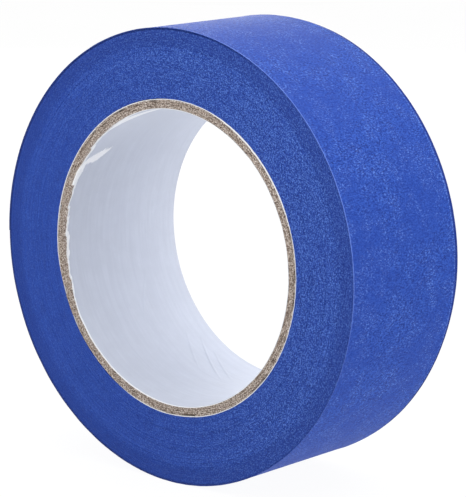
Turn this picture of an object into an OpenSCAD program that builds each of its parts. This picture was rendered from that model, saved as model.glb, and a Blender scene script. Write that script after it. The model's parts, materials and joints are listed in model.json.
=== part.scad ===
// Masking tape roll: a spiral-wound paperboard core with crepe paper tape on it.
// The roll stands on its rim. The bore runs along Y and the front face looks along -Y.
// The origin is the centre of the bore, halfway along it, and +Z is up. Millimetres.

/* [Core] */
// Diameter of the bore, the size that fits a dispenser's spindle
bore_d = 76.2; // [75:0.1:78]
// Thickness of the glossy white liner that faces the bore
liner_t = 0.15; // [0.1:0.05:0.4]
// Thickness of each kraft board ply
ply_t = 0.55; // [0.3:0.05:0.9]
// Number of kraft board plies between the liner and the outer ply
ply_count = 4; // [2:1:6]
// Thickness of the thin white ply that the tape is wound on
outer_ply_t = 0.2; // [0.1:0.05:0.5]

/* [Tape] */
// Width of the tape, which is also the length of the core
tape_w = 42.7; // [18:0.1:100]
// Thickness of the tape, crepe paper backing and adhesive together
tape_t = 0.14; // [0.1:0.01:0.3]
// Number of turns in the roll, with the last one
turns = 127; // [20:1:200]

/* [Free end] */
// Angle of the cut end round the roll, from +X towards +Z
end_angle = 180; // [150:5:210]
// Number of lengths that the free end bends in
end_count = 4; // [2:1:6]
// Angle round the roll that each length covers
end_step = 12; // [8:1:16]
// Air under the free end, where it has let go of the turn below
end_lift = 0.03; // [0.02:0.01:0.1]
// Play between one length's rounded edge and the hollow edge before it
edge_play = 0.03; // [0.02:0.01:0.05]

/* [Hidden] */
$fn = 180;
bore_r = bore_d / 2;
ply_base_r = bore_r + liner_t;
outer_ply_r = ply_base_r + ply_count * ply_t;
core_r = outer_ply_r + outer_ply_t;
// Radius where the last turn starts to cover the turn below it
last_turn_r = core_r + (turns - 1) * tape_t;
// Distance between the centres of the two half circles that make a spiral turn
half_pitch = tape_t / 2;
// Radius of the middle of the free end, about the second centre
end_mid_r = last_turn_r + half_pitch + end_lift + tape_t / 2;
end_start = -end_count * end_step;
// Reach that takes a cutting shape past everything it cuts
cut_reach = 2 * (core_r + turns * tape_t);

kraft_colours = ["#a8907c", "#9c8470", "#a8907c", "#a28a78"];
tape_colour = "#3f60b4";
liner_colour = "#dfe3ec";

// Lays a drawing in the X-Y plane along the roll's width, upright on the roll's own axis
module across_roll(width = tape_w) {
    rotate([90, 0, 0])
        linear_extrude(height = width, center = true)
            children();
}

// One tube of the core's wall
module core_tube(inner_r, wall) {
    across_roll()
        difference() {
            circle(r = inner_r + wall);
            circle(r = inner_r);
        }
}

// A disc whose edge is one turn of a spiral: two half circles about centres that lie
// half a tape thickness apart, so the edge steps out by a whole thickness at angle 0
module spiral_disc(start_r) {
    intersection() {
        circle(r = start_r);
        translate([-cut_reach / 2, 0])
            square(cut_reach);
    }
    intersection() {
        translate([half_pitch, 0])
            circle(r = start_r + half_pitch);
        translate([-cut_reach / 2, -cut_reach])
            square(cut_reach);
    }
}

// A sector from one angle to another, less than half a turn wide
module sector(from, to) {
    polygon([
        [0, 0],
        cut_reach * [cos(from), sin(from)],
        cut_reach * [cos((from + to) / 2), sin((from + to) / 2)],
        cut_reach * [cos(to), sin(to)]
    ]);
}

// Places its children at one of the free end's bend lines, counted from the roll
module at_bend(number) {
    angle = end_start + (number - 1) * end_step;
    translate([half_pitch + end_mid_r * cos(angle), end_mid_r * sin(angle)])
        children();
}

// The hollow edge that the next length's rounded edge turns in
module hollow_edge(number) {
    at_bend(number)
        circle(r = tape_t / 2 + edge_play);
}

// White liner of the bore
module core_liner() {
    color(liner_colour)
        core_tube(bore_r, liner_t);
}

// Kraft board plies, counted outwards from the liner
module core_ply(number) {
    color(kraft_colours[(number - 1) % len(kraft_colours)])
        core_tube(ply_base_r + (number - 1) * ply_t, ply_t);
}

// White ply that the tape is wound on
module core_outer_ply() {
    color(liner_colour)
        core_tube(outer_ply_r, outer_ply_t);
}

// Every turn of tape but the last one
module tape_pack() {
    color(tape_colour)
        across_roll()
            rotate(end_angle)
                difference() {
                    spiral_disc(last_turn_r);
                    circle(r = core_r);
                }
}

// The last turn, as far as the free end's first bend line
module tape_last_turn() {
    color(tape_colour)
        across_roll()
            rotate(end_angle)
                difference() {
                    spiral_disc(last_turn_r + tape_t);
                    spiral_disc(last_turn_r);
                    translate([half_pitch, 0])
                        sector(end_start, 0);
                    hollow_edge(1);
                }
}

// One length of the free end, from its rounded edge to the next length's hollow edge
module tape_end(number) {
    from = end_start + (number - 1) * end_step;
    color(tape_colour)
        across_roll()
            rotate(end_angle)
                difference() {
                    union() {
                        translate([half_pitch, 0])
                            intersection() {
                                difference() {
                                    circle(r = end_mid_r + tape_t / 2);
                                    circle(r = end_mid_r - tape_t / 2);
                                }
                                sector(from, from + end_step);
                            }
                        at_bend(number)
                            circle(r = tape_t / 2);
                    }
                    if (number < end_count)
                        hollow_edge(number + 1);
                }
}

core_liner();
for (i = [1:ply_count])
    core_ply(i);
core_outer_ply();
tape_pack();
tape_last_turn();
for (i = [1:end_count])
    tape_end(i);
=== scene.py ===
"""Looks of a masking tape roll: crepe paper tape wound on a spiral paperboard core.

The roll stands on its rim with its bore along Y and its front face towards -Y. Angles go
round the roll from +X towards +Z. Sizes are in millimetres until a mesh is made.
"""
import json
import math

import bmesh
import bpy
import numpy as np
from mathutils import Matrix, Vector


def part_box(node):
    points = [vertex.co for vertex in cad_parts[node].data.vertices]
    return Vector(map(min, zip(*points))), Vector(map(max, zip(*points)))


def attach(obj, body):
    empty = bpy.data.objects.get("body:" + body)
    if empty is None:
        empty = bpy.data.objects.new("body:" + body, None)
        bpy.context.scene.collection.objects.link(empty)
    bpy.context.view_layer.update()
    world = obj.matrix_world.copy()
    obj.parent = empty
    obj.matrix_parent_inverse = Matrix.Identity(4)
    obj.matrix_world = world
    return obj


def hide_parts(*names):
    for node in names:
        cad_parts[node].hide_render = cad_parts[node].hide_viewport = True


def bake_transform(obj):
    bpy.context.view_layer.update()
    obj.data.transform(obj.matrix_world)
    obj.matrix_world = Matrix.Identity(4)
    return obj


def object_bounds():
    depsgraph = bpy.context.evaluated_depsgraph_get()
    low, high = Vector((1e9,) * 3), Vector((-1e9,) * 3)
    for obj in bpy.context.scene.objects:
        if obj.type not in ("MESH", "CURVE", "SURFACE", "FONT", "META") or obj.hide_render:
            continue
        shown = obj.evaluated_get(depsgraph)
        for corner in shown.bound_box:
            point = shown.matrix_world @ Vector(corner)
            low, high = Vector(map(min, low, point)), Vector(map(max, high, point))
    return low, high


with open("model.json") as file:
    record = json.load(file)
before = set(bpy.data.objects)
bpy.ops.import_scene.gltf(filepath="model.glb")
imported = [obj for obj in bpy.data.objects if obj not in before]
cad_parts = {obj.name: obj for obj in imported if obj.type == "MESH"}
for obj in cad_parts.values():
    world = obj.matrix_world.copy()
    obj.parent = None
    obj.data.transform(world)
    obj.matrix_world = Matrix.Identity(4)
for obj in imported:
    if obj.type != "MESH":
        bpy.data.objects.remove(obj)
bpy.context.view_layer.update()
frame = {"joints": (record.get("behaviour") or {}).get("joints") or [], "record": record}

MM = 0.001
FULL_TURN = 2 * math.pi


# ---- Camera, at the photograph's viewing angle ----
VIEW_AZIMUTH = math.radians(41.04)
VIEW_ELEVATION = math.radians(11.08)
VIEW_DISTANCE = 662.0
LENS, SENSOR = 185.3, 36.0
AIM_RIGHT = 1.48  # how far right of the roll's centre the camera looks
AIM_DOWN = 0.44  # and how far below it


def add_camera():
    """The camera looks down on the roll from the front right."""
    back = Vector((
        math.sin(VIEW_AZIMUTH) * math.cos(VIEW_ELEVATION),
        -math.cos(VIEW_AZIMUTH) * math.cos(VIEW_ELEVATION),
        math.sin(VIEW_ELEVATION),
    ))
    right = Vector((math.cos(VIEW_AZIMUTH), math.sin(VIEW_AZIMUTH), 0))
    up = back.cross(right)
    data = bpy.data.cameras.new("camera")
    data.sensor_width = SENSOR
    data.lens = LENS
    camera = bpy.data.objects.new("camera", data)
    bpy.context.scene.collection.objects.link(camera)
    aim = (right * AIM_RIGHT - up * AIM_DOWN) * MM
    camera.location = back * VIEW_DISTANCE * MM
    camera.rotation_mode = "QUATERNION"
    camera.rotation_quaternion = (aim - camera.location).to_track_quat("-Z", "Y")
    bpy.context.scene.camera = camera


add_camera()


# ---- Sizes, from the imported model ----
def outer_radius(node):
    """Largest X of a CAD node, which is its outer radius at angle 0."""
    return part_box(node)[1].x / MM


half_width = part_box("tape_pack")[1].y / MM
bore_r = frame["record"]["mounts"][0]["dims"]["r_mm"]
liner_r = outer_radius("core_liner")
ply_radii = [outer_radius(f"core_ply_{number}") for number in range(1, 5)]
core_r = outer_radius("core_outer_ply")
last_turn_r = outer_radius("tape_pack")
tape_t = outer_radius("tape_last_turn") - last_turn_r
pack_turns = round((last_turn_r - core_r) / tape_t)  # every turn below the last one
hinges = [Vector(joint["pos_m"]) / MM for joint in frame["joints"]]
round_from = half_width - 2.05  # Y where the rear corner of the roll starts to round off
ROUND_DROP = 0.55  # how far the surface has dropped where it meets the rear face


# ---- Random but repeatable unevenness ----
def smooth_step(low, high, value):
    """0 below low, 1 above high, and a smooth rise between them."""
    share = np.clip((value - low) / (high - low), 0, 1)
    return share * share * (3 - 2 * share)


def uneven(seed, along, across=0.0, period=None):
    """Smooth random values from -1 to 1, with about one hill in each whole step.
    With a period, the values along repeat after that many steps."""
    along, across = np.broadcast_arrays(
        np.asarray(along, float), np.asarray(across, float)
    )
    first_along = 0 if period else int(np.floor(along.min()))
    first_across = int(np.floor(across.min()))
    count_along = period or int(np.floor(along.max())) - first_along + 2
    count_across = int(np.floor(across.max())) - first_across + 2
    table = np.random.default_rng(seed).uniform(-1, 1, (count_along, count_across))
    cell_along, cell_across = np.floor(along), np.floor(across)
    share_along = smooth_step(0, 1, along - cell_along)
    share_across = smooth_step(0, 1, across - cell_across)
    i = cell_along.astype(int) - first_along
    j = cell_across.astype(int) - first_across
    i0, i1 = (i % period, (i + 1) % period) if period else (i, i + 1)
    near = table[i0, j] * (1 - share_along) + table[i1, j] * share_along
    far = table[i0, j + 1] * (1 - share_along) + table[i1, j + 1] * share_along
    return near * (1 - share_across) + far * share_across


# ---- Mesh building ----
def grid_quads(table, around=False):
    """Quads between neighbouring columns and rows of a table of vertex numbers.
    With around, the last row also joins the first."""
    if around:
        table = np.concatenate([table, table[:, :1]], 1)
    corners = [table[:-1, :-1], table[:-1, 1:], table[1:, 1:], table[1:, :-1]]
    return np.stack(corners, -1).reshape(-1, 4)


def make_piece(name, points, faces, finishes, finish_of=None, sharp=35):
    """Makes a mesh from points in millimetres, and keeps each point's own place for its
    grain. finish_of gives each face's finish, and sharp the angle of an edge in degrees."""
    mesh = bpy.data.meshes.new(name)
    mesh.from_pydata((points * MM).tolist(), [], [list(face) for face in faces])
    attribute = mesh.attributes.new("grain_mm", "FLOAT_VECTOR", "POINT")
    attribute.data.foreach_set("vector", points.astype(np.float32).ravel())
    for finish in finishes:
        mesh.materials.append(finish)
    if finish_of is not None:
        mesh.polygons.foreach_set("material_index", np.asarray(finish_of, np.int32))
    shape = bmesh.new()
    shape.from_mesh(mesh)
    bmesh.ops.recalc_face_normals(shape, faces=shape.faces)
    shape.to_mesh(mesh)
    shape.free()
    mesh.polygons.foreach_set("use_smooth", [True] * len(mesh.polygons))
    mesh.set_sharp_from_angle(angle=math.radians(sharp))
    piece = bpy.data.objects.new(name, mesh)
    bpy.context.scene.collection.objects.link(piece)
    return piece


def round_points(radius, angle, y):
    """Points at a radius and angle round the roll's axis."""
    radius, angle, y = np.broadcast_arrays(radius, angle, y)
    return np.stack([radius * np.cos(angle), y, radius * np.sin(angle)], -1)


def settle(piece, body, slot, *nodes):
    """The piece rides on a body and stands for CAD nodes; slot, a finish of the record's, is not
    used.
    """
    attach(piece, body)
    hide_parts(*nodes)


# ---- Finishes ----
def node_maker(name):
    """A new material's node tree, its shader, and a function that adds a linked node."""
    material = bpy.data.materials.new(name)
    material.use_nodes = True
    tree = material.node_tree
    shader = tree.nodes["Principled BSDF"]

    def add(kind, inputs=None, **settings):
        node = tree.nodes.new(kind)
        for key, value in settings.items():
            setattr(node, key, value)
        for key, value in (inputs or {}).items():
            if isinstance(value, bpy.types.NodeSocket):
                tree.links.new(value, node.inputs[key])
            else:
                node.inputs[key].default_value = value
        return node

    return material, tree, shader, add


def colour(red, green, blue):
    """A screen colour, 0 to 255, as the linear values that a shader takes."""
    def linear(value):
        share = value / 255
        return share / 12.92 if share <= 0.04045 else ((share + 0.055) / 1.055) ** 2.4

    return (linear(red), linear(green), linear(blue), 1.0)


def grain_at(add):
    """Each point's own place in millimetres, which bends with the piece."""
    return add("ShaderNodeAttribute", attribute_name="grain_mm").outputs["Vector"]


def stretched(add, place, x, y, z):
    """The place with its three directions scaled."""
    return add(
        "ShaderNodeVectorMath", {0: place, 1: (x, y, z)}, operation="MULTIPLY"
    ).outputs[0]


def noise(add, place, scale=1.0, detail=2.0, roughness=0.5):
    """Noise from 0 to 1 at a place."""
    return add(
        "ShaderNodeTexNoise",
        {"Vector": place, "Scale": scale, "Detail": detail, "Roughness": roughness},
    ).outputs["Fac"]


def between(add, value, low, high, to_low=0.0, to_high=1.0):
    """The value, from low to high, as a number from to_low to to_high."""
    return add(
        "ShaderNodeMapRange",
        {"Value": value, "From Min": low, "From Max": high, "To Min": to_low, "To Max": to_high},
        interpolation_type="SMOOTHSTEP",
    ).outputs["Result"]


def maths(add, operation, first, second):
    """Two numbers put together."""
    return add("ShaderNodeMath", {0: first, 1: second}, operation=operation).outputs[0]


def times(add, first, second):
    """One number multiplied by another."""
    return maths(add, "MULTIPLY", first, second)


def mixed(add, share, first, second):
    """Two colours mixed by a share."""
    return add(
        "ShaderNodeMix", {"Factor": share, "A": first, "B": second}, data_type="RGBA"
    ).outputs["Result"]


def raise_by(add, height, depth_mm, after=None):
    """A normal from a height of 0 to 1, as deep as depth_mm."""
    inputs = {"Height": height, "Distance": depth_mm * MM, "Strength": 1.0}
    if after is not None:
        inputs["Normal"] = after
    return add("ShaderNodeBump", inputs).outputs["Normal"]


def radius_of(add, place):
    """The distance of a place from the roll's axis."""
    flat = stretched(add, place, 1, 0, 1)
    return add("ShaderNodeVectorMath", {0: flat}, operation="LENGTH").outputs["Value"]


def lifted(add, place, distance):
    """The place moved along Y, so that noise there can follow the wound layers."""
    move = add("ShaderNodeCombineXYZ", {"Y": distance}).outputs[0]
    return add("ShaderNodeVectorMath", {0: place, 1: move}, operation="ADD").outputs[0]


def finish_crepe():
    """Outside of the tape: crepe paper with wrinkles across its width and dry, pale tips.
    It has a painted highlight along its cut edges, stronger towards the top, and another where
    the rear corner starts to round off; the rounded corner has painted shade, deepest towards the
    bottom."""
    material, tree, shader, add = node_maker("crepe_backing")
    place = grain_at(add)
    wrinkles = noise(add, stretched(add, place, 1.9, 0.42, 1.9), detail=3, roughness=0.6)
    creases = noise(add, stretched(add, place, 4.2, 1.1, 4.2), detail=2, roughness=0.6)
    grain = noise(add, stretched(add, place, 2.7, 1.4, 2.7), detail=2, roughness=0.7)
    fibres = noise(add, place, scale=7.0, detail=2, roughness=0.7)
    patches = noise(add, place, scale=0.16, detail=3, roughness=0.6)
    broad = noise(add, place, scale=0.045, detail=2)

    body = mixed(add, between(add, grain, 0.38, 0.62), colour(9, 42, 125), colour(50, 92, 190))
    body = mixed(add, between(add, wrinkles, 0.35, 0.65, 0, 0.5), body, colour(31, 70, 168))
    body = mixed(add, between(add, broad, 0.35, 0.65, 0, 0.5), body, colour(26, 64, 160))
    dry = times(add, between(add, grain, 0.56, 0.72), between(add, patches, 0.4, 0.62))
    body = mixed(add, times(add, dry, 0.7), body, colour(108, 144, 220))
    tips = times(add, between(add, fibres, 0.6, 0.76), between(add, patches, 0.44, 0.62))
    body = mixed(add, times(add, tips, 0.7), body, colour(176, 198, 244))
    parts = add("ShaderNodeSeparateXYZ", {"Vector": place}).outputs
    across, height = parts["Y"], parts["Z"]
    # Painted highlight: a pale line along the cut edges, in patches, stronger towards the top.
    to_edge = maths(add, "SUBTRACT", half_width, maths(add, "ABSOLUTE", across, 0.0))
    edge_highlight = times(add, between(add, to_edge, 0.42, 0.2), between(add, patches, 0.2, 0.4))
    edge_highlight = times(add, edge_highlight, between(add, height, -30.0, 10.0, 0.12, 0.6))
    body = mixed(add, edge_highlight, body, colour(112, 144, 232))
    # Painted highlight: a pale broken line where the rear corner starts to round off.
    past_corner = maths(add, "SUBTRACT", across, round_from - 0.05)
    to_corner = maths(add, "ABSOLUTE", past_corner, 0.0)
    corner_highlight = times(add, between(add, to_corner, 0.22, 0.06), between(add, grain, 0.42, 0.6))
    body = mixed(add, times(add, corner_highlight, 0.5), body, colour(120, 156, 236))
    # Painted shade on the rounded rear corner, which faces away from the light, deepest towards
    # the bottom.
    reach = maths(add, "ADD", across, between(add, height, -10.0, -40.0, 0.0, 0.5))
    rounded = between(add, reach, round_from + 0.2, round_from + 0.7)
    corner_shade = times(add, rounded, between(add, height, -10.0, -40.0, 0.7, 0.95))
    body = mixed(add, corner_shade, body, colour(8, 30, 104))
    tree.links.new(body, shader.inputs["Base Color"])
    rough = between(add, creases, 0.3, 0.7, 0.56, 0.72)
    tree.links.new(maths(add, "MAXIMUM", rough, rounded), shader.inputs["Roughness"])
    normal = raise_by(add, wrinkles, 0.06)
    normal = raise_by(add, grain, 0.07, normal)
    normal = raise_by(add, creases, 0.02, normal)
    normal = raise_by(add, fibres, 0.008, normal)
    tree.links.new(normal, shader.inputs["Normal"])
    shader.inputs["Specular IOR Level"].default_value = 0.16
    return material


LIT_SIDE = (1.0, 0.0, 0.4)  # the side of the roll where the face is painted lighter, with stronger painted light and shade on its grain


def finish_slit_edge():
    """Cut edges of the turns: dense rings of paper and adhesive, with fine fuzz."""
    material, tree, shader, add = node_maker("slit_tape_edge")
    place = grain_at(add)
    radius = radius_of(add, place)
    flat = stretched(add, place, 1, 0, 1)
    wound = lifted(add, flat, radius)
    rings = noise(add, stretched(add, wound, 0.05, 2.4, 0.05), detail=3, roughness=0.65)
    dashes = noise(add, stretched(add, wound, 0.8, 2.8, 0.8), detail=2, roughness=0.6)
    grain = noise(add, stretched(add, wound, 2.6, 2.0, 2.6), detail=2, roughness=0.7)
    fuzz = noise(add, place, scale=5.0, detail=2, roughness=0.7)
    broad = noise(add, place, scale=0.05, detail=2)
    blotches = noise(add, place, scale=0.4, detail=3, roughness=0.6)
    # side and dry measure how far a point lies towards the upper right, where the face is painted
    # lighter; dry goes from 0.25 to 1.
    side = add("ShaderNodeVectorMath", {0: place, 1: LIT_SIDE}, operation="DOT_PRODUCT")
    dry = between(add, side.outputs["Value"], -45.0, 35.0, 0.25, 1.0)

    body = mixed(add, between(add, rings, 0.3, 0.7), colour(34, 71, 167), colour(42, 81, 180))
    body = mixed(add, between(add, broad, 0.3, 0.7, 0, 0.5), body, colour(40, 77, 178))
    body = mixed(add, between(add, blotches, 0.45, 0.3, 0, 0.35), body, colour(26, 58, 148))
    body = mixed(add, between(add, blotches, 0.55, 0.7, 0, 0.3), body, colour(56, 96, 196))
    body = mixed(add, between(add, dashes, 0.42, 0.3, 0, 0.4), body, colour(24, 54, 142))
    body = mixed(add, between(add, dashes, 0.58, 0.74, 0, 0.4), body, colour(64, 104, 200))
    # Painted light and shade: towards the upper right the grain's low parts are painted darker and
    # its high parts paler, so that side of the face comes out brighter.
    deep = times(add, between(add, grain, 0.5, 0.36), times(add, dry, 0.8))
    body = mixed(add, deep, body, colour(16, 42, 126))
    pale = times(add, between(add, grain, 0.49, 0.65), dry)
    body = mixed(add, pale, body, colour(96, 136, 220))
    body = mixed(add, between(add, fuzz, 0.62, 0.78, 0, 0.5), body, colour(124, 156, 228))
    shaded = between(add, radius, last_turn_r - 5.5, last_turn_r - 2.5, 0, 0.36)
    body = mixed(add, shaded, body, colour(24, 52, 138))
    # Painted shade: a dark band just inside the outer rim, deepest on the left where the rim faces
    # away from the light.
    rim_shade = between(add, radius, last_turn_r - 0.5, last_turn_r - 0.1, 0, 0.75)
    rim_shade = times(add, rim_shade, between(add, side.outputs["Value"], 20.0, -45.0, 0.3, 1.0))
    body = mixed(add, rim_shade, body, colour(12, 32, 104))
    tree.links.new(body, shader.inputs["Base Color"])
    tree.links.new(between(add, dashes, 0.3, 0.7, 0.62, 0.8), shader.inputs["Roughness"])
    normal = raise_by(add, dashes, 0.05)
    normal = raise_by(add, grain, 0.08, normal)
    tree.links.new(normal, shader.inputs["Normal"])
    shader.inputs["Specular IOR Level"].default_value = 0.3
    return material


def finish_adhesive():
    """Underside of the tape: a thin tacky film over the crepe."""
    material, tree, shader, add = node_maker("adhesive_side")
    place = grain_at(add)
    wrinkles = noise(add, stretched(add, place, 1.9, 0.42, 1.9), detail=3, roughness=0.6)
    pits = noise(add, place, scale=2.2, detail=3, roughness=0.6)
    body = mixed(add, between(add, wrinkles, 0.3, 0.7), colour(62, 92, 172), colour(84, 116, 196))
    body = mixed(add, between(add, pits, 0.55, 0.75, 0, 0.5), body, colour(116, 146, 214))
    tree.links.new(body, shader.inputs["Base Color"])
    tree.links.new(between(add, pits, 0.35, 0.65, 0.22, 0.42), shader.inputs["Roughness"])
    normal = raise_by(add, wrinkles, 0.03)
    normal = raise_by(add, pits, 0.01, normal)
    tree.links.new(normal, shader.inputs["Normal"])
    shader.inputs["Coat Weight"].default_value = 0.25
    shader.inputs["Coat Roughness"].default_value = 0.3
    return material


def finish_board(name, pale, deep):
    """Kraft board: grey-brown recycled fibre with dark and light flecks."""
    material, tree, shader, add = node_maker(name)
    place = grain_at(add)
    radius = radius_of(add, place)
    wound = lifted(add, place, times(add, radius, 2.0))
    fibre = noise(add, stretched(add, wound, 1.6, 2.6, 1.6), detail=3, roughness=0.65)
    flecks = noise(add, stretched(add, wound, 1.9, 1.5, 1.9), detail=2, roughness=0.6)
    chips = noise(add, stretched(add, place, 3.0, 3.0, 3.0), detail=2, roughness=0.6)
    crumbs = noise(add, place, scale=5.5, detail=2, roughness=0.7)
    body = mixed(add, between(add, fibre, 0.35, 0.65), deep, pale)
    body = mixed(add, between(add, flecks, 0.46, 0.36, 0, 0.75), body, colour(76, 60, 51))
    body = mixed(add, between(add, chips, 0.51, 0.63, 0, 0.85), body, colour(240, 230, 222))
    body = mixed(add, between(add, chips, 0.47, 0.36, 0, 0.75), body, colour(84, 66, 58))
    body = mixed(add, between(add, crumbs, 0.62, 0.8, 0, 0.5), body, colour(226, 216, 204))
    tree.links.new(body, shader.inputs["Base Color"])
    normal = raise_by(add, fibre, 0.13)
    normal = raise_by(add, chips, 0.08, normal)
    normal = raise_by(add, crumbs, 0.05, normal)
    tree.links.new(normal, shader.inputs["Normal"])
    shader.inputs["Roughness"].default_value = 0.9
    shader.inputs["Specular IOR Level"].default_value = 0.2
    return material


def finish_liner():
    """Smooth white paper with a faint mottle, long streaks and the print of the board's
    fibre. Painted light makes it paler near the top of the bore."""
    material, tree, shader, add = node_maker("liner_paper")
    place = grain_at(add)
    mottle = noise(add, place, scale=0.22, detail=4, roughness=0.6)
    streaks = noise(add, stretched(add, place, 0.05, 0.9, 0.05), detail=3, roughness=0.6)
    press = noise(add, place, scale=0.5, detail=3, roughness=0.55)
    tooth = noise(add, place, scale=6.0, detail=2, roughness=0.6)
    body = mixed(add, between(add, mottle, 0.3, 0.7), colour(200, 205, 218), colour(205, 210, 223))
    body = mixed(add, between(add, streaks, 0.3, 0.7, 0, 0.5), body, colour(194, 199, 213))
    # Painted light: the liner is painted paler towards the top of the bore.
    height = add("ShaderNodeSeparateXYZ", {"Vector": place}).outputs["Z"]
    body = mixed(add, between(add, height, 20.0, 34.0, 0, 0.7), body, colour(214, 219, 231))
    body = mixed(add, between(add, tooth, 0.66, 0.8, 0, 0.25), body, colour(180, 186, 200))
    tree.links.new(body, shader.inputs["Base Color"])
    tree.links.new(between(add, mottle, 0.35, 0.65, 0.54, 0.64), shader.inputs["Roughness"])
    normal = raise_by(add, press, 0.05)
    normal = raise_by(add, tooth, 0.004, normal)
    tree.links.new(normal, shader.inputs["Normal"])
    shader.inputs["Coat Weight"].default_value = 0.03
    shader.inputs["Coat Roughness"].default_value = 0.25
    shader.inputs["Specular IOR Level"].default_value = 0.14
    return material


def finish_white_ply():
    """Matt white paper, as its cut and torn edges show it."""
    material, tree, shader, add = node_maker("torn_white_paper")
    place = grain_at(add)
    fibre = noise(add, place, scale=3.0, detail=4, roughness=0.7)
    body = mixed(add, between(add, fibre, 0.3, 0.7), colour(244, 246, 251), colour(254, 254, 255))
    tree.links.new(body, shader.inputs["Base Color"])
    tree.links.new(raise_by(add, fibre, 0.08), shader.inputs["Normal"])
    shader.inputs["Roughness"].default_value = 0.85
    return material


crepe = finish_crepe()
slit_edge = finish_slit_edge()
adhesive = finish_adhesive()
boards = [
    finish_board("kraft_board_pale", colour(199, 184, 172), colour(160, 143, 132)),
    finish_board("kraft_board_deep", colour(190, 174, 161), colour(150, 133, 122)),
]
liner_paper = finish_liner()
torn_paper = finish_white_ply()


# ---- Core ----
CORE_COLUMNS = 720
core_steps = np.arange(CORE_COLUMNS)[:, None]
core_angles = core_steps / CORE_COLUMNS * FULL_TURN


def uneven_round(seed, steps, length, across=0.0):
    """Unevenness with a hill about every length columns, which meets itself round the core."""
    return uneven(seed, steps / length, across, period=round(CORE_COLUMNS / length))


def ring_piece(name, radius, y, angle, finishes, finish_rows=None):
    """A closed ring whose section at each angle is one loop of points. radius, y and angle
    are tables with a column of the loop's points for each place round the ring."""
    radius, y, angle = np.broadcast_arrays(radius, y, angle)
    columns, rows = radius.shape
    points = round_points(radius, angle, y).reshape(-1, 3)
    table = np.arange(columns * rows).reshape(columns, rows)
    faces = grid_quads(np.concatenate([table, table[:1]], 0), around=True)
    finish_of = None
    if finish_rows is not None:
        finish_of = np.broadcast_to(finish_rows, (columns, rows)).ravel()
    return make_piece(name, points, faces, finishes, finish_of)


def ply_ring(name, sections, finish):
    """A ring whose loops run out along the front end and back along the rear end. sections
    holds the radius and Y of the points at each end."""
    (front_r, front_y), (rear_r, rear_y) = sections
    radius = np.concatenate([front_r, rear_r[:, ::-1]], 1)
    y = np.concatenate([front_y, rear_y[:, ::-1]], 1)
    return ring_piece(name, radius, y, core_angles, [finish])


def white_swell(angle):
    """How much wider the white ply is squeezed out over the kraft, on the upper right."""
    degrees = np.degrees(angle)
    return 0.24 * smooth_step(14, 32, degrees) * smooth_step(74, 58, degrees)


PLY_ACROSS = np.array([0.0, 0.12, 0.35, 0.65, 0.88, 1.0])  # share of the wall at each point
PLY_DIP = np.array([0.16, 0.04, 0.0, 0.0, 0.05, 0.18])  # how deep a ply's corners are rubbed
GAP_DEPTH = 2.2  # depth of the gaps where plies have parted


def add_ply(number, inner_r, outer_r):
    """One kraft ply. Its saw-cut ends are fibrous, and short gaps open at its outer side.
    The outermost ply has more of them, and is narrower where the white ply swells."""
    outermost = number == len(ply_radii)
    gap_from, gap_across = (0.3, 0.3) if outermost else (0.65, 0.6)
    sections = []
    for side in (-1, 1):
        seed = 100 * number + side
        rough = uneven_round(seed, core_steps, 3, PLY_ACROSS * 4)
        long_wave = uneven_round(seed + 7, core_steps, 36)
        gap = np.clip(uneven_round(seed + 31, core_steps, 5) - gap_from, 0, 1)
        depth = PLY_DIP + 0.05 + 0.05 * rough + 0.05 * long_wave
        depth = depth + GAP_DEPTH * gap * (PLY_ACROSS > gap_across)
        edge = uneven_round(seed + 13, core_steps, 4)
        wall = outer_r - inner_r - (white_swell(core_angles) if outermost else 0)
        radius = inner_r + wall * PLY_ACROSS + 0.03 * edge * (PLY_ACROSS > 0.5)
        sections.append((radius, side * (half_width - depth)))
    piece = ply_ring(f"core_board_{number}", sections, boards[number % 2])
    settle(piece, "roll", "kraft_board", f"core_ply_{number}")


HIDDEN_AT = math.radians(218)  # the side where the white ply lies deeper
HIDDEN_DEPTH = 0.35


def add_outer_ply():
    """The thin white ply under the tape. Its edges are wavy, and deeper at the lower left."""
    across = np.array([0.0, 0.3, 0.7, 1.0])
    dip = np.array([0.05, 0.0, 0.0, 0.05])
    hidden = smooth_step(0.82, 0.97, np.cos(core_angles - HIDDEN_AT))
    inner_r = ply_radii[-1] - white_swell(core_angles)
    sections = []
    for side in (-1, 1):
        seed = 900 + side
        rough = uneven_round(seed, core_steps, 3)
        wave = uneven_round(seed + 5, core_steps, 24)
        depth = dip + 0.02 + 0.05 * rough - 0.06 * wave + HIDDEN_DEPTH * hidden
        radius = inner_r + (core_r - inner_r) * across + 0.06 * wave + 0.03 * rough
        sections.append((radius, side * (half_width - depth)))
    piece = ply_ring("core_outer_paper", sections, torn_paper)
    settle(piece, "roll", "white_ply", "core_outer_ply")


SEAM_LEAD = math.radians(28)  # angle between the liner's seam and the roll's face
SEAM_ANGLE = math.radians(131)  # where the seam meets the front face
SEAM_STEP = 0.12  # how far the strip's far edge stands over its near edge
SEAM_GAP = 0.0012  # radians between the strip's two edges
TORN_FROM, TORN_TO = math.radians(100), math.radians(212)  # where the edge is torn back
TORN_FADE = 0.3  # radians over which the torn depth grows
TORN_DEPTH = 0.85
FOLD_AT = 147.0  # angle in degrees where the liner's fold starts, at the front face
FOLD_LEAN = 0.72  # degrees that the fold leans for each millimetre of depth
FOLD_WIDTH, FOLD_LENGTH = 8.5, 9.0  # degrees at its widest, and how deep it reaches
FOLD_RISE = 0.09
CURL_AT, CURL_SPAN = 154.0, 11.0  # degrees where the torn liner curls off the board
CURL_WIDTH, CURL_RISE = 1.7, 0.45
CUT_EDGE = 0.28  # width of the white edge that the saw leaves on the liner
FRAY_FROM, FRAY_FULL = math.radians(160), math.radians(172)  # where the edge frays
FRAY_WIDTH, FRAY_RISE = 0.75, 0.16
LINER_ROWS = 65
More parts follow.
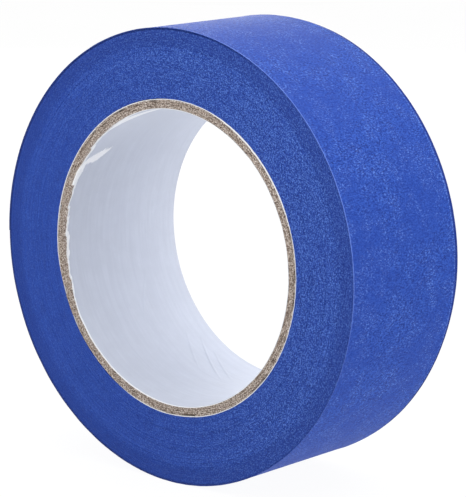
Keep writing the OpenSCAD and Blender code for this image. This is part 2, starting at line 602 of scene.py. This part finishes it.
WRINKLES = (  # angle in degrees, depth, length and height of the liner's wrinkles
    (246, 32, 11, 0.18), (252, 33, 9, 0.15), (238, 30, 8, 0.13), (210, 25, 8, 0.10),
)
WRINKLE_LEAN, WRINKLE_WIDTH = 2.6, 3.0  # degrees for each millimetre, and degrees
DIMPLE_AT, DIMPLE_DEPTH = 216, 31  # the middle of a small dimple


def ridge(value, centre, width):
    """A rounded ridge 1 high, as wide as width at its foot."""
    return np.clip(1 - ((value - centre) / (width / 2)) ** 2, 0, 1) ** 2


def liner_fold(at, depth):
    """A leaf-shaped fold in the liner, 1 high, at angles in degrees."""
    along = np.clip(depth / FOLD_LENGTH, 0, 1)
    width = FOLD_WIDTH * np.sin(math.pi * (0.06 + 0.94 * along) ** 1.3) + 0.02
    past_line = at - (FOLD_AT - FOLD_LEAN * depth)
    fold = ridge(np.where(past_line < 0, 2.2 * past_line, past_line), 0, width)
    return np.where(depth < FOLD_LENGTH, fold, 0)


def liner_wrinkles(at, depth):
    """Height of the wrinkles and the dimple near the bottom of the bore."""
    rise = np.zeros_like(at)
    for line_at, line_depth, length, height in WRINKLES:
        along = (depth - line_depth) / length
        line = line_at - WRINKLE_LEAN * (depth - line_depth)
        rise = rise + height * ridge(at, line, WRINKLE_WIDTH) * np.clip(1 - 4 * along**2, 0, 1)
    dimple = (at - DIMPLE_AT) ** 2 / 1.2**2 + (depth - DIMPLE_DEPTH) ** 2 / 0.9**2
    return rise - 0.08 * np.exp(-dimple)


def add_liner():
    """The white liner of the bore. Its strip is wound in a helix, so the mesh's columns lean
    with the seam. The front edge is torn back on the left, and there is a fold behind it."""
    lean = -1 / (math.tan(SEAM_LEAD) * bore_r)
    start = SEAM_ANGLE + np.append(core_angles, FULL_TURN)[:, None]
    start[0] += SEAM_GAP / 2
    start[-1] -= SEAM_GAP / 2
    around = start % FULL_TURN
    steps = around / FULL_TURN * CORE_COLUMNS

    torn = smooth_step(TORN_FROM, TORN_FROM + TORN_FADE, around)
    torn = torn * smooth_step(TORN_TO, TORN_TO - TORN_FADE, around)
    curl = np.minimum(1, 2 * ridge(np.degrees(around), CURL_AT, CURL_SPAN))
    jagged = 0.22 * uneven_round(41, steps, 2.5) + 0.3 * uneven_round(42, steps, 8)
    front_edge = 0.03 + torn * (1 - curl) * np.clip(TORN_DEPTH + jagged, 0.12, None)
    front_edge = front_edge + 0.07 * (1 + uneven_round(43, steps, 8))

    row = np.linspace(0, 1, LINER_ROWS) ** 1.35  # closer together near the front face
    y = -half_width + front_edge + (2 * half_width - 0.04 - front_edge) * row
    depth = y + half_width
    behind = depth - front_edge
    angle = start + lean * depth
    at = np.degrees(angle) % 360

    share = (start - SEAM_ANGLE) / FULL_TURN
    flecks = np.clip(1.6 * uneven_round(44, steps, 9), 0, 1)
    below_curl = torn * smooth_step(FRAY_FROM, FRAY_FULL, around)
    frayed = flecks * below_curl
    edge_width = CUT_EDGE * (1 + 0.5 * torn - 0.8 * below_curl)
    edge_width = edge_width + FRAY_WIDTH * frayed + CURL_WIDTH * curl
    edge_rise = FRAY_RISE * frayed + CURL_RISE * curl
    fold = liner_fold(at, depth)
    rise = 0.03 * uneven(51, angle * bore_r / 9, depth / 7)
    rise = rise + SEAM_STEP * smooth_step(0.95, 1.0, share)
    rise = rise + edge_rise * (1 - smooth_step(0, 1, behind / edge_width))
    rise = rise + FOLD_RISE * fold + liner_wrinkles(at, depth)

    inner = bore_r - rise
    outside = slice(None, None, -4)  # the hidden side needs fewer points
    radius = np.concatenate([inner, np.full_like(inner[:, outside], liner_r - 0.01)], 1)
    y = np.concatenate([y, y[:, outside]], 1)
    angle = np.concatenate([angle, angle[:, outside]], 1)
    # White paper shows at the cut edge and along the seam, where its band grows narrower
    # with depth. On the fold the white paper is a painted highlight, where the fold catches the
    # light.
    bare_paper_and_highlight = (behind < edge_width - 0.1 * curl) | (fold > 0.12)
    bare_paper_and_highlight = bare_paper_and_highlight | (share > 0.972 + 0.022 * smooth_step(6, 14, depth))
    finish_rows = np.zeros(radius.shape, int)
    finish_rows[:, [LINER_ROWS - 1, -1]] = 1
    finish_rows[:, : LINER_ROWS - 1][bare_paper_and_highlight[:, :-1]] = 1
    finishes = [liner_paper, torn_paper]
    piece = ring_piece("core_liner_paper", radius, y, angle, finishes, finish_rows)
    settle(piece, "roll", "white_liner", "core_liner")


inner_radii = [liner_r] + ply_radii[:-1]
for number, (inner, outer) in enumerate(zip(inner_radii, ply_radii), 1):
    add_ply(number, inner, outer)
add_outer_ply()
add_liner()


# ---- Tape ----
def on_spiral(turn, rise=0.0):
    """Points x and z on the spiral, at a number of turns from its start on the core and
    raised off it. Each turn is two half circles, and starts at angle 180 degrees."""
    whole = np.floor(turn)
    angle = (turn - whole) * FULL_TURN
    second_half = angle > math.pi
    radius = core_r + whole * tape_t + second_half * tape_t / 2 + rise
    x = second_half * tape_t / 2 + radius * np.cos(angle)
    return -x, -radius * np.sin(angle)


def rear_round(turn):
    """How far the roll's rear corner is rounded off, which varies round the roll."""
    share = turn - np.floor(turn)
    return ROUND_DROP * (1 + 0.35 * uneven(101, share * 16, period=16))


def rear_drop(turn, y):
    """How far the surface lies below the spiral near the rounded rear corner."""
    share = np.clip((y - round_from) / (half_width - round_from), 0, 1)
    return rear_round(turn) * share**2


def rear_edge(turn, radius):
    """Y of a turn's rear edge, which the rounded corner shortens on the outer turns."""
    below = np.clip((last_turn_r - radius) / rear_round(turn), 0, 1)
    return round_from + (half_width - round_from) * np.sqrt(below)


TURN_COLUMNS = 240
GROOVE = 0.035  # depth of the grooves between the turns' edges
HAIR = 1e-9  # share of a turn that keeps a column just before the turn's end
SLACK_FROM, SLACK_TO = 235, 325  # degrees round a turn where its front edge falls back
SLACK_DEPTH = 0.3


def slack(turn):
    """How far the front edges of the turns under the last one fall back, over the top."""
    angle = (turn - np.floor(turn)) * 360
    share = smooth_step(SLACK_FROM, SLACK_FROM + 25, angle)
    return SLACK_DEPTH * share * smooth_step(SLACK_TO, SLACK_TO - 25, angle)


def edge_depth(side, turn):
    """How deep each turn's slit edge lies behind the roll's face. Bands of turns stand
    deeper or prouder together, single turns vary, and both drift round the roll."""
    whole = np.floor(turn)
    band = uneven(60 + side, whole / 5, turn * 0.7)
    single = uneven(70 + side, whole * 7.3, turn * 2.0)
    ripple = uneven(80 + side, turn * 40)
    depth = 0.05 + 0.016 * band + 0.014 * single + 0.008 * ripple
    if side < 0:
        depth = depth + slack(turn) * smooth_step(pack_turns - 4, pack_turns - 2, whole)
    return depth


def add_wound_turns(name, first, last):
    """A length of the wound strip, from one whole turn to another, as one solid. Each turn
    has a flat slit edge between two grooves, on the front face and on the rear face."""
    count = (last - first) * TURN_COLUMNS
    valley_turn = first + np.arange(count + TURN_COLUMNS + 1) / TURN_COLUMNS
    valley_turn = np.minimum(valley_turn, last + 1 - HAIR)
    crest_turn = first + np.arange(count + 1) / TURN_COLUMNS
    crest_turn[-1] -= HAIR
    points, sides = [], []
    for side in (-1, 1):
        start = sum(len(part) for part in points)
        x, z = on_spiral(valley_turn)
        lower = np.maximum(edge_depth(side, valley_turn), edge_depth(side, valley_turn - 1))
        edge = half_width if side < 0 else rear_edge(valley_turn, np.hypot(x, z))
        points.append(np.stack([x, side * (edge - lower - GROOVE), z], -1))
        tables = [start + np.arange(len(valley_turn))]
        for share in (0.22, 0.78):
            start = sum(len(part) for part in points)
            x, z = on_spiral(crest_turn, share * tape_t)
            edge = half_width if side < 0 else rear_edge(crest_turn, np.hypot(x, z))
            points.append(np.stack([x, side * (edge - edge_depth(side, crest_turn)), z], -1))
            tables.append(start + np.arange(len(crest_turn)))
        valley, low, high = tables
        sides.append(np.stack([valley[: count + 1], low, high, valley[TURN_COLUMNS:]], 1))
        sides.append(valley)
    front, front_valley, rear, rear_valley = sides
    walls = []
    for start in (0, count):
        pair = [v[start : start + TURN_COLUMNS + 1] for v in (front_valley, rear_valley)]
        walls.append(grid_quads(np.stack(pair, 1)))
    ends = [grid_quads(np.stack([front[at], rear[at]], 1)) for at in (0, count)]
    faces = np.concatenate([grid_quads(front), grid_quads(rear), *walls, *ends])
    finish_of = np.ones(len(faces), int)
    finish_of[: 2 * 3 * count] = 0  # three quads across each edge, on both faces
    points = np.concatenate(points)
    piece = make_piece(name, points, faces, [slit_edge, crepe], finish_of, sharp=60)
    settle(piece, "roll", "crepe_tape", "tape_pack")


def crepe_rise(turn, y):
    """Height of the crepe's wrinkles, which run across the tape, and of slower waves."""
    length = turn * FULL_TURN * last_turn_r
    fine = uneven(91, length / 0.62 + 0.4 * uneven(94, y / 2.5, length / 9), y / 4.5)
    coarse = uneven(92, length / 1.9, y / 9)
    slow = uneven(93, length / 14, y / 11)
    return 0.012 * fine + 0.010 * coarse + 0.02 * slow


# Y of the points across the tape, closer together by the faces
rows_y = np.concatenate([
    -half_width + np.array([0, 0.05, 0.2, 0.5, 0.95]),
    np.linspace(1.75 - half_width, half_width - 2.75, 32),
    half_width - np.array([2.35, 2.15, 2.0, 1.75, 1.45, 1.1, 0.75, 0.45, 0.2, 0.05]),
])


def front_lip(y):
    """The slit raises a fine burr along the tape's front edge, with a faint dip behind it."""
    behind = y + half_width
    return 0.035 * np.exp(-behind / 0.12) - 0.02 * ridge(behind, 0.8, 1.4)


def rear_ridge(turn, y):
    """A faint uneven ridge where the rear corner starts to round off."""
    line = round_from - 0.05 + 0.12 * uneven(95, turn * 30)
    return 0.05 * (1 + 0.6 * uneven(96, turn * 45)) * ridge(y, line, 0.7)


def add_strip(name, turns_at, lift, torn_end=False, both_sides=True, inset=0.0):
    """A length of tape as one solid. turns_at are its columns, in turns from the core, lift
    is how far it stands off the turn below, and inset how far its front edge falls back.
    A torn end is ragged and pale. Without both sides, the underside has only its edges."""
    turn, y = np.meshgrid(turns_at, rows_y, indexing="ij")
    lift = np.broadcast_to(np.asarray(lift, float).reshape(-1, 1), turn.shape)
    edge = 0.03 * uneven(97, turn[:, :1] * 90) - 0.02 + np.reshape(inset, (-1, 1))
    y = y + edge * smooth_step(-half_width + 1.2, -half_width, y)
    if torn_end:
        ragged = 0.35 + 0.3 * uneven(98, y[-1] / 1.1) + 0.2 * uneven(99, y[-1] / 0.4)
        near_end = smooth_step(0.985, 1.0, (turn - turn[0, 0]) / (turn[-1, 0] - turn[0, 0]))
        turn = turn - near_end * ragged / (FULL_TURN * last_turn_r)
    drop = rear_drop(turn, y)
    relief = crepe_rise(turn, y) + front_lip(y) + rear_ridge(turn, y)
    top_x, top_z = on_spiral(turn, tape_t + lift + relief - drop)
    low_x, low_z = on_spiral(turn, lift - drop + 0.3 * relief)
    top = np.stack([top_x, y, top_z], -1)
    low = np.stack([low_x, y, low_z], -1)
    if not both_sides:
        low = low[:, [0, -1]]
    loop = np.concatenate([top, low[:, ::-1]], 1)
    columns, rows = loop.shape[:2]
    table = np.arange(columns * rows).reshape(columns, rows)
    faces = grid_quads(table, around=True)
    row_finish = np.full(rows, 2)
    row_finish[: len(rows_y) - 1] = 0
    row_finish[[len(rows_y) - 1, rows - 1]] = 1
    finish_of = np.tile(row_finish, columns - 1)
    if torn_end:
        torn = finish_of[-2 * rows :]  # the last two columns
        torn[torn == 0] = 2
    if both_sides:
        caps = []
        for column in (table[0], table[-1]):
            pair = np.stack([column[: len(rows_y)], column[len(rows_y) :][::-1]], 1)
            caps.append(grid_quads(pair))
        faces = np.concatenate([faces, *caps]).tolist()
    else:
        faces = faces.tolist() + [table[0].tolist(), table[-1].tolist()]
    finish_of = np.concatenate([finish_of, np.ones(len(faces) - len(finish_of), int)])
    points = loop.reshape(-1, 3)
    return make_piece(name, points, faces, [crepe, slit_edge, adhesive], finish_of, sharp=50)


def turn_at(point):
    """How far round its turn a point lies, from 0 to 1."""
    return (math.atan2(-point.z, -point.x - tape_t / 2) / FULL_TURN) % 1


TURN_GROUPS = 4
FINE_STEP = 0.3  # distance between columns along the tape, small enough for its wrinkles


def columns_between(first, last, step):
    """Evenly spaced columns from one number of turns to another."""
    count = max(2, round((last - first) * FULL_TURN * last_turn_r / step))
    return np.linspace(first, last, count + 1)


# The pack holds every turn below the last one, and its own last turn is a strip with
# wrinkles, because lifting the free end bares it
covered = pack_turns - 1
limits = [round(group * covered / TURN_GROUPS) for group in range(TURN_GROUPS + 1)]
for group in range(TURN_GROUPS):
    add_wound_turns(f"tape_turns_{group + 1}", limits[group], limits[group + 1])

hinge_turns = [pack_turns + turn_at(hinge) for hinge in hinges]
end_lift = math.hypot(hinges[0].x + tape_t / 2, hinges[0].z) - last_turn_r - tape_t
half_length = (hinge_turns[1] - hinge_turns[0]) / 2
bared_from = hinge_turns[0] - 1 - half_length
coarse = columns_between(covered, bared_from, 4 * FINE_STEP)[:-1]
fine = columns_between(bared_from, pack_turns - HAIR, FINE_STEP)
at = np.concatenate([coarse, fine])
strip = add_strip("tape_covered_turn", at, 0.0, both_sides=False, inset=slack(at))
settle(strip, "roll", "crepe_tape", "tape_pack")

free_from = hinge_turns[0] - half_length
at = columns_between(pack_turns, free_from, FINE_STEP)
lift = end_lift * smooth_step(free_from - 2 * half_length, free_from, at)
strip = add_strip("tape_outside_turn", at, lift, both_sides=False)
settle(strip, "roll", "crepe_tape", "tape_last_turn")

TIP_LIFT = 0.05  # how far the cut end stands off
for number, (hinge, hinge_turn) in enumerate(zip(hinges, hinge_turns), 1):
    last_one = number == len(hinges)
    end_turn = pack_turns + 1 - HAIR if last_one else hinge_turn + half_length
    at = columns_between(hinge_turn - half_length, end_turn, FINE_STEP)
    lift = end_lift + TIP_LIFT * smooth_step(hinge_turns[-1], pack_turns + 1, at) ** 2
    strip = add_strip(f"tape_free_end_{number}", at, lift, torn_end=last_one)
    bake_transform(strip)
    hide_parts(f"tape_end_{number}")


# ---- Studio ----
FLOOR_SIZE = 6000.0
WORLD_LEVEL = 0.33  # brightness of the surroundings
WORLD_SLOPE = (-0.05, 0.32, 0.16)  # how the surroundings brighten towards +X, +Y and +Z
LIGHTS = {  # azimuth, elevation, distance, size and watts
    "softbox_above": (30, 78, 700, 700, 1.95),
    "softbox_front": (12, 38, 320, 250, 0.34),
    "softbox_behind": (165, 55, 900, 1000, 4.1),
    "softbox_right": (110, 12, 700, 350, 1.55),
    "softbox_low": (218, 14, 900, 440, 2.4),
}


def add_stage():
    """A pale floor that the light has almost bleached out."""
    material, tree, shader, add = node_maker("studio_floor")
    place = add("ShaderNodeTexCoord").outputs["Object"]
    cloud = noise(add, place, scale=6.0, detail=2)
    body = mixed(add, cloud, (0.06, 0.06, 0.06, 1), (0.08, 0.08, 0.08, 1))
    tree.links.new(body, shader.inputs["Base Color"])
    shader.inputs["Roughness"].default_value = 0.9
    shader.inputs["Specular IOR Level"].default_value = 0.0
    shader.inputs["Emission Color"].default_value = (1, 1, 1, 1)
    shader.inputs["Emission Strength"].default_value = 0.95
    half = FLOOR_SIZE / 2
    floor_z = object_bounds()[0].z / MM
    points = np.array([(x, y, floor_z) for x, y in (
        (-half, -half), (half, -half), (half, half), (-half, half),
    )])
    floor = make_piece("studio_floor", points, [[0, 1, 2, 3]], [material])


def add_light(name, azimuth, elevation, distance, size, watts):
    """A square softbox that faces the roll. Azimuth 0 is in front of it, and 90 at +X."""
    a, e = math.radians(azimuth), math.radians(elevation)
    towards = Vector((math.sin(a) * math.cos(e), -math.cos(a) * math.cos(e), math.sin(e)))
    data = bpy.data.lights.new(name, "AREA")
    data.size = size * MM
    data.energy = watts
    light = bpy.data.objects.new(name, data)
    bpy.context.scene.collection.objects.link(light)
    light.location = towards * distance * MM
    light.rotation_mode = "QUATERNION"
    light.rotation_quaternion = towards.to_track_quat("Z", "Y")


def add_surroundings():
    """Soft white light from all round, brightest behind the roll and above it."""
    world = bpy.data.worlds.new("studio")
    world.use_nodes = True
    tree = world.node_tree
    direction = tree.nodes.new("ShaderNodeTexCoord").outputs["Generated"]
    slope = tree.nodes.new("ShaderNodeVectorMath")
    slope.operation = "DOT_PRODUCT"
    slope.inputs[1].default_value = WORLD_SLOPE
    tree.links.new(direction, slope.inputs[0])
    level = tree.nodes.new("ShaderNodeMath")
    level.operation = "ADD"
    level.inputs[1].default_value = WORLD_LEVEL
    tree.links.new(slope.outputs["Value"], level.inputs[0])
    background = tree.nodes["Background"]
    background.inputs["Color"].default_value = (1, 1, 1, 1)
    tree.links.new(level.outputs[0], background.inputs["Strength"])
    bpy.context.scene.world = world


add_stage()
add_surroundings()
for light_name, placing in LIGHTS.items():
    add_light(light_name, *placing)
bpy.context.scene.view_settings.view_transform = "Standard"
